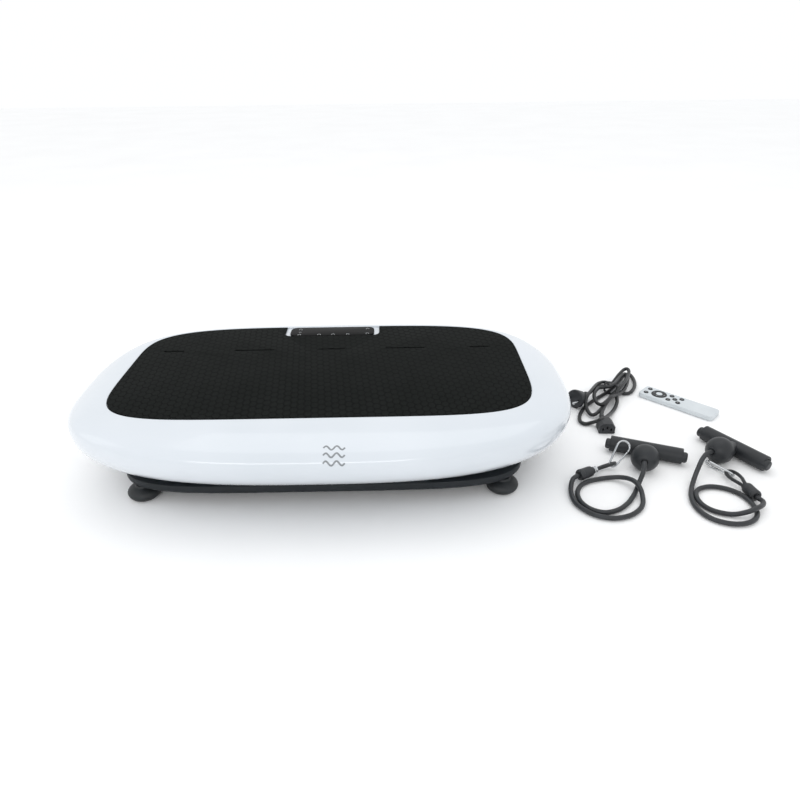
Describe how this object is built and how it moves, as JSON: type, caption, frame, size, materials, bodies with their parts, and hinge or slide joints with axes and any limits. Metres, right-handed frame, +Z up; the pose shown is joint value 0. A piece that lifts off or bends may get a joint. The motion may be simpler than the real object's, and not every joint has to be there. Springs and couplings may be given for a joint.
{
  "type": "vibration plate",
  "caption": "Slim vibration plate: glossy oval deck with scale-patterned mat and touch panel, rocking on a suction-footed base, with its remote, resistance bands and mains lead.",
  "frame": {"origin": "floor level, at the middle of the plate, remote and handles' common box", "axes": "+X runs along the plate to its right end, -Y is the front, +Z is up"},
  "size_m": [1.0792, 0.492, 0.144],
  "materials": {
    "gloss_white_shell": "high-gloss white ABS",
    "black_mat_rubber": "matt moulded rubber with a scale pattern",
    "gloss_black_lens": "polished black acrylic",
    "charcoal_plastic": "fine-grained charcoal ABS",
    "black_rubber": "satin black rubber",
    "black_plastic": "satin black plastic",
    "white_plastic": "satin white ABS",
    "steel": "zinc-plated steel",
    "bright_steel": "bright plated steel",
    "cast_aluminium": "die-cast aluminium",
    "motor_paint": "black stoved paint",
    "circuit_board": "green solder mask",
    "braided_strap": "tight black braid over a wire core"
  },
  "bodies": {
    "base": {"base_pan": "charcoal_plastic", "foot_front_left": "black_rubber", "foot_front_right": "black_rubber", "foot_rear_left": "black_rubber", "foot_rear_right": "black_rubber", "pivot_block_front": "cast_aluminium", "pivot_block_rear": "cast_aluminium", "crank_block_front": "cast_aluminium", "crank_block_rear": "cast_aluminium", "motor": "motor_paint", "motor_cradle": "steel", "drive_belt": "black_rubber", "power_board": "circuit_board", "inlet_socket": "black_plastic", "band_anchor_left": "bright_steel", "band_anchor_right": "bright_steel"},
    "deck": {"top_shell": "gloss_white_shell", "shell_rim": "gloss_white_shell", "deck_mat": "black_mat_rubber", "control_panel": "gloss_black_lens", "control_board": "circuit_board", "deck_frame": "steel", "pivot_shaft": "bright_steel", "connecting_rod": "cast_aluminium"},
    "crank": {"eccentric_shaft": "bright_steel", "driven_pulley": "steel"},
    "motor_rotor": {"motor_pulley": "steel"},
    "switch": {"power_switch": "black_plastic"},
    "remote": {"remote_case": "white_plastic"},
    "remote_cover": {"battery_cover": "white_plastic"},
    "key_head_left_body": {"key_head_left": "black_plastic"},
    "key_head_right_body": {"key_head_right": "black_plastic"},
    "key_ring_body": {"key_ring": "black_plastic"},
    "key_centre_body": {"key_centre": "white_plastic"},
    "key_upper_left_body": {"key_upper_left": "black_plastic"},
    "key_upper_right_body": {"key_upper_right": "black_plastic"},
    "key_middle_body": {"key_middle": "black_plastic"},
    "key_lower_left_body": {"key_lower_left": "black_plastic"},
    "key_lower_right_body": {"key_lower_right": "black_plastic"},
    "left_band_set": {"left_handle_grip": "black_plastic", "left_ball_cap": "black_plastic", "left_band": "black_rubber", "left_sleeve": "black_rubber", "left_crimp": "bright_steel", "left_strap_loop": "braided_strap", "left_snap_hook": "bright_steel"},
    "right_band_set": {"right_handle_grip": "black_plastic", "right_ball_cap": "black_plastic", "right_band": "black_rubber", "right_sleeve": "black_rubber", "right_strap_loop": "braided_strap", "right_snap_hook": "bright_steel"},
    "left_gate": {"left_hook_gate": "bright_steel"},
    "right_gate": {"right_hook_gate": "bright_steel"},
    "mains_lead": {"mains_plug": "black_plastic", "plug_cord": "black_rubber", "cord_hank": "black_rubber", "cord_tie": "black_plastic", "connector_cord": "black_rubber", "iec_connector": "black_plastic"}
  },
  "joints": [
    {"name": "deck_rock", "type": "hinge", "parent": "base", "child": "deck", "pos_m": [-0.16, 0, 0.075], "axis": [0, 1, 0], "range_deg": [-1.3, 1.3], "stiffness_Nm_per_rad": 200},
    {"name": "crank_spin", "type": "hinge", "parent": "base", "child": "crank", "pos_m": [-0.29, 0, 0.06], "axis": [0, 1, 0], "continuous": true},
    {"name": "motor_spin", "type": "hinge", "parent": "base", "child": "motor_rotor", "pos_m": [-0.385, 0, 0.06], "axis": [0, 1, 0], "continuous": true},
    {"name": "switch_rock", "type": "hinge", "parent": "base", "child": "switch", "pos_m": [-0.054, 0.1518, 0.0345], "axis": [0, 0, 1], "range_deg": [0, 16]},
    {"name": "remote_lift", "type": "slide", "parent": "base", "child": "remote", "axis": [0, 0, 1], "range_m": [0, 0.15]},
    {"name": "battery_cover_slide", "type": "slide", "parent": "remote", "child": "remote_cover", "axis": [0.6947, -0.7193, 0], "range_m": [0, 0.05]},
    {"name": "key_head_left_press", "type": "slide", "parent": "remote", "child": "key_head_left_body", "axis": [0, 0, -1], "range_m": [0, 0.001], "stiffness_N_per_m": 600},
    {"name": "key_head_right_press", "type": "slide", "parent": "remote", "child": "key_head_right_body", "axis": [0, 0, -1], "range_m": [0, 0.001], "stiffness_N_per_m": 600},
    {"name": "key_ring_press", "type": "slide", "parent": "remote", "child": "key_ring_body", "axis": [0, 0, -1], "range_m": [0, 0.001], "stiffness_N_per_m": 600},
    {"name": "key_centre_press", "type": "slide", "parent": "remote", "child": "key_centre_body", "axis": [0, 0, -1], "range_m": [0, 0.001], "stiffness_N_per_m": 600},
    {"name": "key_upper_left_press", "type": "slide", "parent": "remote", "child": "key_upper_left_body", "axis": [0, 0, -1], "range_m": [0, 0.001], "stiffness_N_per_m": 600},
    {"name": "key_upper_right_press", "type": "slide", "parent": "remote", "child": "key_upper_right_body", "axis": [0, 0, -1], "range_m": [0, 0.001], "stiffness_N_per_m": 600},
    {"name": "key_middle_press", "type": "slide", "parent": "remote", "child": "key_middle_body", "axis": [0, 0, -1], "range_m": [0, 0.001], "stiffness_N_per_m": 600},
    {"name": "key_lower_left_press", "type": "slide", "parent": "remote", "child": "key_lower_left_body", "axis": [0, 0, -1], "range_m": [0, 0.001], "stiffness_N_per_m": 600},
    {"name": "key_lower_right_press", "type": "slide", "parent": "remote", "child": "key_lower_right_body", "axis": [0, 0, -1], "range_m": [0, 0.001], "stiffness_N_per_m": 600},
    {"name": "left_band_lift", "type": "slide", "parent": "base", "child": "left_band_set", "axis": [0, 0, 1], "range_m": [0, 0.15]},
    {"name": "left_gate_swing", "type": "hinge", "parent": "left_band_set", "child": "left_gate", "pos_m": [0.3039, -0.07097, 0.0143], "axis": [0.0346, -0.8468, 0.5309], "range_deg": [0, 25], "stiffness_Nm_per_rad": 0.05},
    {"name": "right_band_lift", "type": "slide", "parent": "base", "child": "right_band_set", "axis": [0, 0, 1], "range_m": [0, 0.15]},
    {"name": "right_gate_swing", "type": "hinge", "parent": "right_band_set", "child": "right_gate", "pos_m": [0.46218, -0.09303, 0.00352], "axis": [0.6243, 0.4441, 0.6427], "range_deg": [0, 25], "stiffness_Nm_per_rad": 0.05},
    {"name": "mains_lead_lift", "type": "slide", "parent": "base", "child": "mains_lead", "axis": [0, 0, 1], "range_m": [0, 0.15]}
  ],
  "couplings": [
    {"joint": "motor_spin", "follows": "crank_spin", "ratio": 2.2857}
  ]
}
